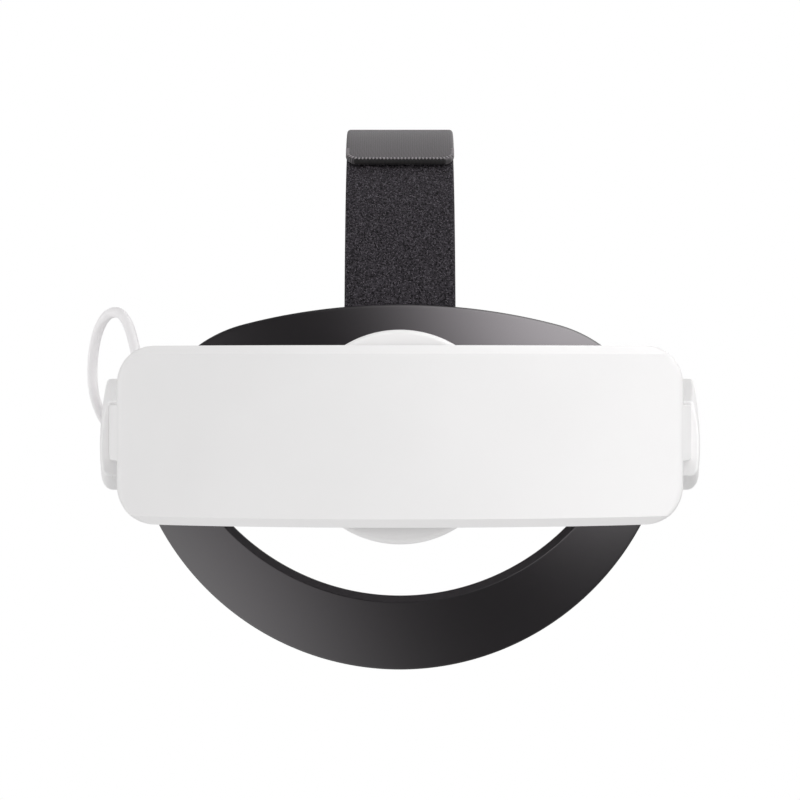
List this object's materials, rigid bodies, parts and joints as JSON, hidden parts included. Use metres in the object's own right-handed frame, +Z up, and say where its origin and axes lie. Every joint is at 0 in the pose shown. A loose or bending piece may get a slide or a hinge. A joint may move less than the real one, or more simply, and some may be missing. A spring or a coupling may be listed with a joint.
{
  "type": "headset head strap",
  "caption": "Rear battery head strap for a worn display: ring at the back of the head, fit wheel, curved pack, sliding side arms, hook-and-loop top strap and power cable.",
  "frame": {"origin": "centre of the head seat, on the fit wheel's axis, where the ring, racks, housing and pack all have their curve's centre", "axes": "+X to the wearer's right, +Y forward to where the display is, +Z up"},
  "size_m": [0.202, 0.2154, 0.1637],
  "materials": {
    "white_plastic": "satin",
    "ring_plastic": "satin soft-touch",
    "housing_plastic": "fine texture",
    "pad_rubber": "matte",
    "screw_steel": "machined",
    "gear_plastic": "natural acetal",
    "cell_foil": "pouch foil",
    "board_laminate": "solder mask",
    "light_lens": "clear",
    "loop_pile": "brushed loop pile",
    "strap_twill": "fine twill",
    "hook_tape": "moulded hooks",
    "blade_plastic": "satin",
    "cable_rubber": "matte"
  },
  "bodies": {
    "rear_unit": {"cradle": "ring_plastic", "head_pad": "pad_rubber", "cradle_screws": "screw_steel", "housing_front": "housing_plastic", "housing_rear": "housing_plastic", "housing_screws": "screw_steel", "wheel_axle": "screw_steel", "friction_washer": "gear_plastic", "pack_front_cover": "white_plastic", "pack_rear_cover": "white_plastic", "pack_screws": "screw_steel", "battery_cell_left": "cell_foil", "battery_cell_right": "cell_foil", "charge_board": "board_laminate", "charge_port": "screw_steel", "status_light": "light_lens", "strap_anchor": "housing_plastic", "anchor_screws": "screw_steel", "top_strap": "loop_pile"},
    "wheel": {"fit_wheel": "white_plastic", "drive_pinion": "gear_plastic"},
    "left_rack": {"left_rack": "gear_plastic"},
    "right_rack": {"right_rack": "gear_plastic"},
    "left_arm": {"left_arm_outer": "white_plastic", "left_arm_inner": "white_plastic", "left_blade": "blade_plastic", "left_socket_pad": "pad_rubber", "left_arm_screws": "screw_steel", "cable_gland": "cable_rubber", "power_cable": "cable_rubber", "plug_body": "cable_rubber", "plug_shell": "screw_steel"},
    "right_arm": {"right_arm_outer": "white_plastic", "right_arm_inner": "white_plastic", "right_blade": "blade_plastic", "right_socket_pad": "pad_rubber", "right_arm_screws": "screw_steel"},
    "strap_flap": {"strap_flap": "strap_twill", "hook_patch": "hook_tape"}
  },
  "joints": [
    {"name": "wheel_spin", "type": "hinge", "parent": "rear_unit", "child": "wheel", "pos_m": [0, -0.109, 0], "axis": [0, -1, 0], "range_deg": [-85, 85]},
    {"name": "left_rack_turn", "type": "hinge", "parent": "rear_unit", "child": "left_rack", "pos_m": [0, 0, 0], "axis": [0, 0, 1], "range_deg": [-7.2, 7.2]},
    {"name": "right_rack_turn", "type": "hinge", "parent": "rear_unit", "child": "right_rack", "pos_m": [0, 0, 0], "axis": [0, 0, 1], "range_deg": [-7.2, 7.2]},
    {"name": "left_arm_slide", "type": "slide", "parent": "rear_unit", "child": "left_arm", "axis": [0, 1, 0], "range_m": [-0.012, 0.012], "deforming": ["left_blade"]},
    {"name": "right_arm_slide", "type": "slide", "parent": "rear_unit", "child": "right_arm", "axis": [0, 1, 0], "range_m": [-0.012, 0.012], "deforming": ["right_blade"]},
    {"name": "flap_lift", "type": "hinge", "parent": "rear_unit", "child": "strap_flap", "pos_m": [0, 0.0726, 0.08116], "axis": [-1, 0, 0], "range_deg": [0, 110]}
  ],
  "couplings": [
    {"joint": "left_rack_turn", "follows": "wheel_spin", "ratio": -0.0833},
    {"joint": "right_rack_turn", "follows": "wheel_spin", "ratio": 0.0813},
    {"joint": "left_arm_slide", "follows": "wheel_spin", "m_per_rad": 0.008},
    {"joint": "right_arm_slide", "follows": "wheel_spin", "m_per_rad": 0.008}
  ]
}
